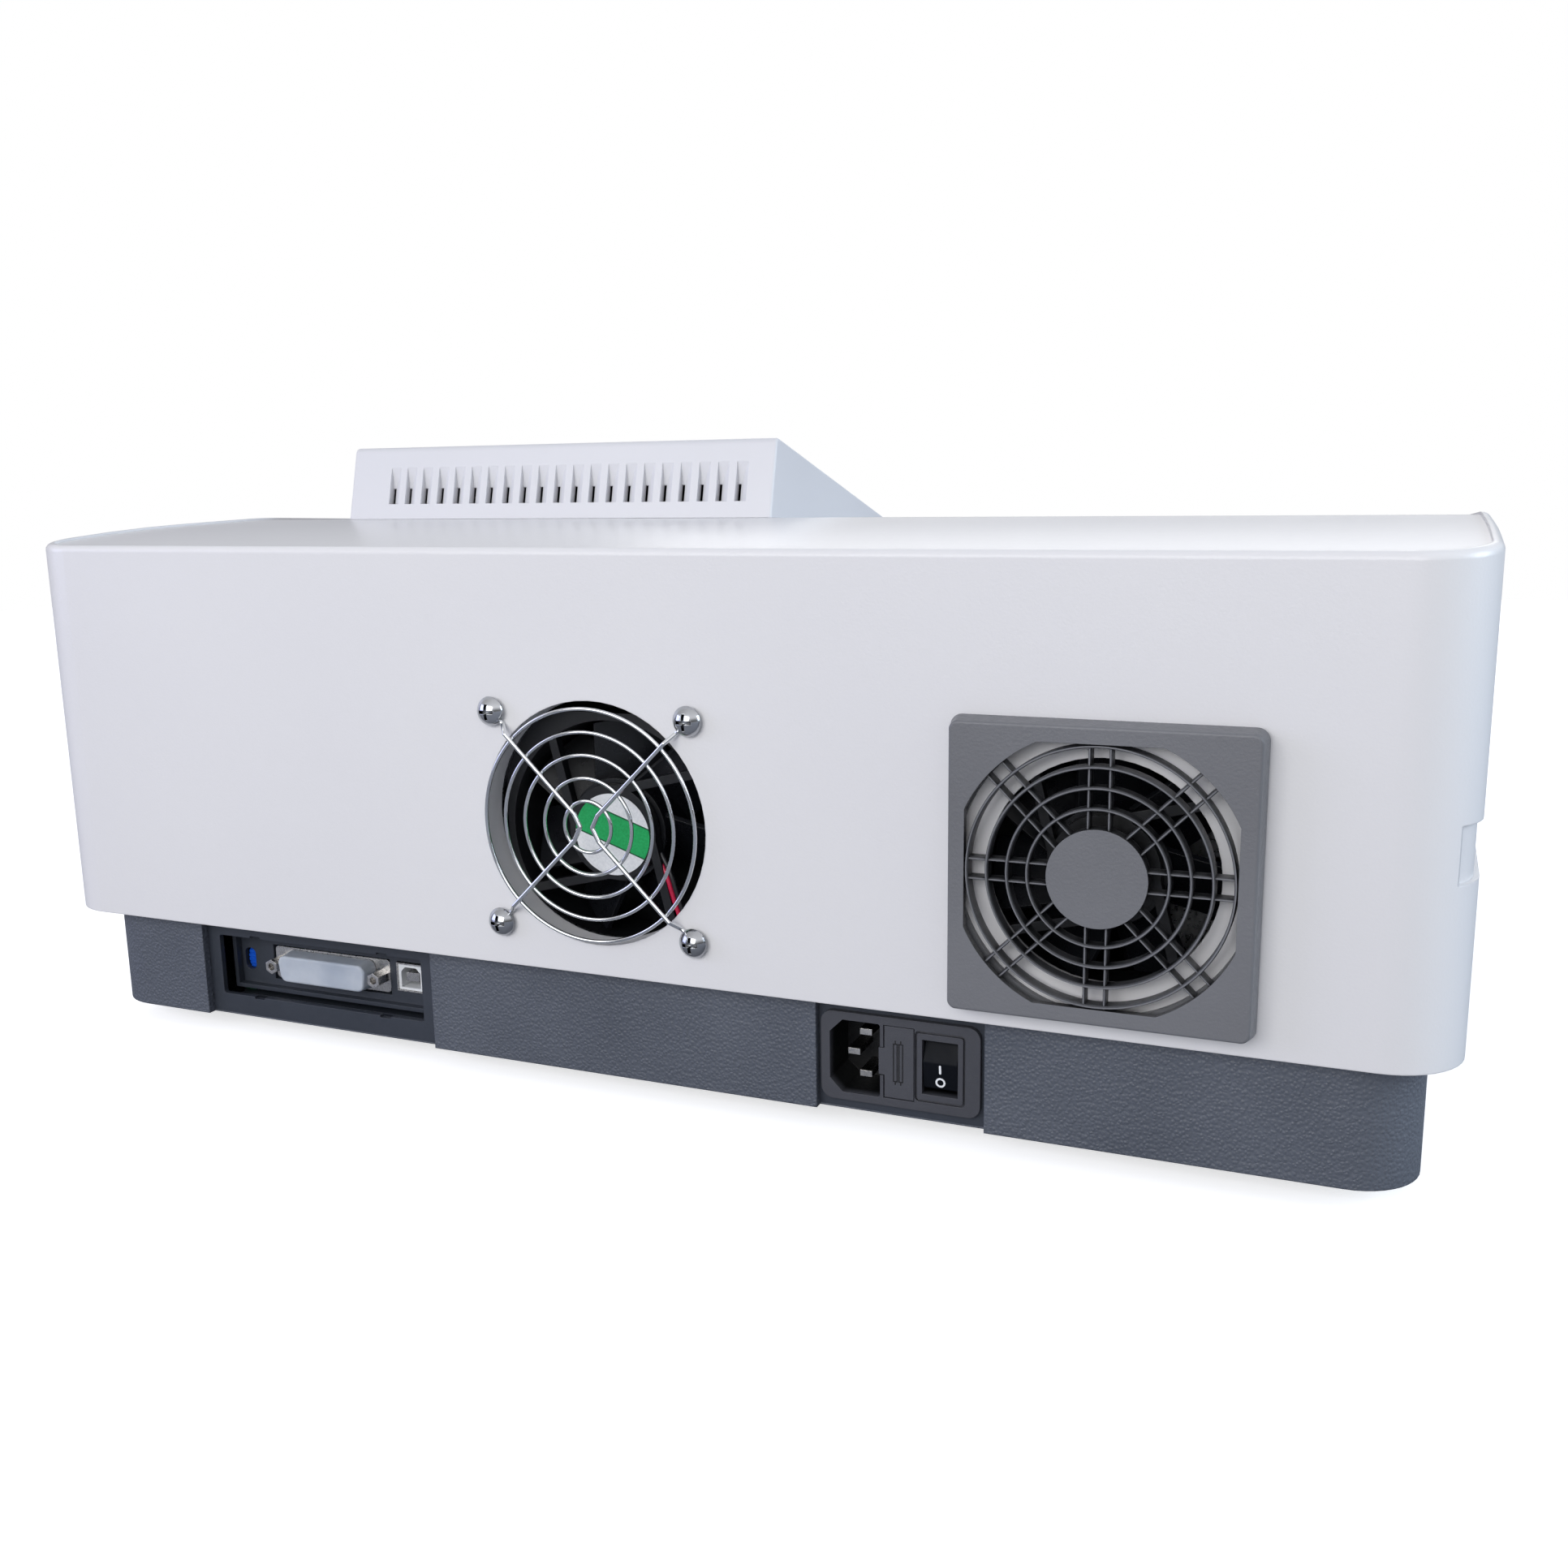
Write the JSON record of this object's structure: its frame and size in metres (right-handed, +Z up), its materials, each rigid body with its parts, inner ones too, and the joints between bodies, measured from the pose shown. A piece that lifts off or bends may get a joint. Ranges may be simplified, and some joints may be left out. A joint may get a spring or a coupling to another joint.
{
  "type": "double beam spectrophotometer",
  "caption": "Bench spectrophotometer with a hinged sample lid, sloping screen and keypad, two guarded rear fans, a port niche and a switched mains inlet.",
  "frame": {"origin": "on the bench, under the middle of the bounding box", "axes": "+Z up, front towards -Y, rear panel towards +Y, +X to the right as seen from the front"},
  "size_m": [0.502, 0.3999, 0.2214],
  "materials": {
    "cover_plastic": "satin, fine grain",
    "tray_plastic": "leather grain",
    "panel_paint": "fine texture",
    "black_plastic": "satin",
    "gloss_black": "gloss",
    "guard_plastic": "matte",
    "bezel_plastic": "matte",
    "keypad_plastic": "satin film",
    "key_plastic": "satin film",
    "milky_plastic": "translucent",
    "blue_plastic": "gloss",
    "board_green": "solder mask",
    "rubber": "matte",
    "steel": "zinc plated",
    "plated_metal": "nickel plated",
    "chrome": "polished",
    "cast_alloy": "machined",
    "black_paint": "matte black",
    "motor_black": "satin",
    "white_ceramic": "unglazed ceramic",
    "clear_glass": "clear",
    "fuse_glass": "clear",
    "filter_glass": "coloured",
    "screen_glass": "gloss",
    "mirror": "front coated"
  },
  "bodies": {
    "case": {"cover": "cover_plastic", "display_hood": "cover_plastic", "hinge_pin": "steel", "lid_seal": "rubber", "base_tray": "tray_plastic", "feet": "rubber", "rear_panel": "panel_paint", "power_inlet": "black_plastic", "inlet_pins": "plated_metal", "port_bracket": "panel_paint", "serial_port": "plated_metal", "jackscrews": "steel", "usb_port": "plated_metal", "port_board": "board_green", "fan_frames": "black_plastic", "fan_bracket": "steel", "wire_guard": "chrome", "fan_screws": "steel", "filter_guard": "guard_plastic", "filter_retainer": "guard_plastic", "display_bezel": "bezel_plastic", "display_panel": "screen_glass", "keypad_sheet": "keypad_plastic", "keys": "key_plastic", "optical_bench": "cast_alloy", "bench_mounts": "rubber", "sample_chamber": "black_paint", "beam_windows": "clear_glass", "cell_holders": "black_paint", "detectors": "black_paint", "detector_board": "board_green", "splitter_housing": "black_paint", "splitter_mounts": "cast_alloy", "beam_splitter": "clear_glass", "fold_mirror": "mirror", "monochromator": "black_paint", "monochromator_lid": "black_paint", "slit_plates": "steel", "mirror_mounts": "cast_alloy", "concave_mirrors": "mirror", "lamp_house": "steel", "lamp_holders": "white_ceramic", "lamps": "clear_glass", "step_motors": "motor_black", "main_board": "board_green", "power_supply": "steel"},
    "lid": {"sample_lid": "cover_plastic"},
    "centre_rotor": {"centre_fan_rotor": "black_plastic"},
    "side_rotor": {"side_fan_rotor": "black_plastic"},
    "cap": {"dust_cap": "milky_plastic"},
    "contrast": {"contrast_wheel": "blue_plastic"},
    "power_switch": {"rocker_switch": "gloss_black"},
    "drawer": {"fuse_drawer": "black_plastic", "fuses": "fuse_glass"},
    "grating_drive": {"grating_turret": "cast_alloy", "grating": "mirror"},
    "source_turret": {"mirror_holder": "cast_alloy", "source_mirror": "mirror"},
    "filter_turret": {"filter_wheel": "cast_alloy", "filters": "filter_glass"}
  },
  "joints": [
    {"name": "lid_hinge", "type": "hinge", "parent": "case", "child": "lid", "pos_m": [-0.12, 0.031, 0.18679], "axis": [-1, 0, 0], "range_deg": [0, 75]},
    {"name": "centre_fan_spin", "type": "hinge", "parent": "case", "child": "centre_rotor", "pos_m": [0.0097, 0.17, 0.0922], "axis": [0, 1, 0], "continuous": true},
    {"name": "side_fan_spin", "type": "hinge", "parent": "case", "child": "side_rotor", "pos_m": [-0.1535, 0.178, 0.0957], "axis": [0, 1, 0], "continuous": true},
    {"name": "dust_cap_pull", "type": "slide", "parent": "case", "child": "cap", "axis": [0, 1, 0], "range_m": [0, 0.012]},
    {"name": "contrast_turn", "type": "hinge", "parent": "case", "child": "contrast", "pos_m": [0.1763, 0.1629, 0.0274], "axis": [1, 0, 0], "range_deg": [-135, 135]},
    {"name": "power_rocker", "type": "hinge", "parent": "case", "child": "power_switch", "pos_m": [-0.10385, 0.178, 0.0264], "axis": [1, 0, 0], "range_deg": [-16, 0]},
    {"name": "fuse_drawer_slide", "type": "slide", "parent": "case", "child": "drawer", "axis": [0, 1, 0], "range_m": [0, 0.018]},
    {"name": "grating_turn", "type": "hinge", "parent": "case", "child": "grating_drive", "pos_m": [-0.084, 0.062, 0.088], "axis": [0, 0, 1], "range_deg": [-35, 0]},
    {"name": "source_select", "type": "hinge", "parent": "case", "child": "source_turret", "pos_m": [-0.198, 0.095, 0.088], "axis": [0, 0, 1], "range_deg": [-90, 0]},
    {"name": "filter_index", "type": "hinge", "parent": "case", "child": "filter_turret", "pos_m": [-0.152, 0.095, 0.067], "axis": [1, 0, 0], "continuous": true}
  ]
}
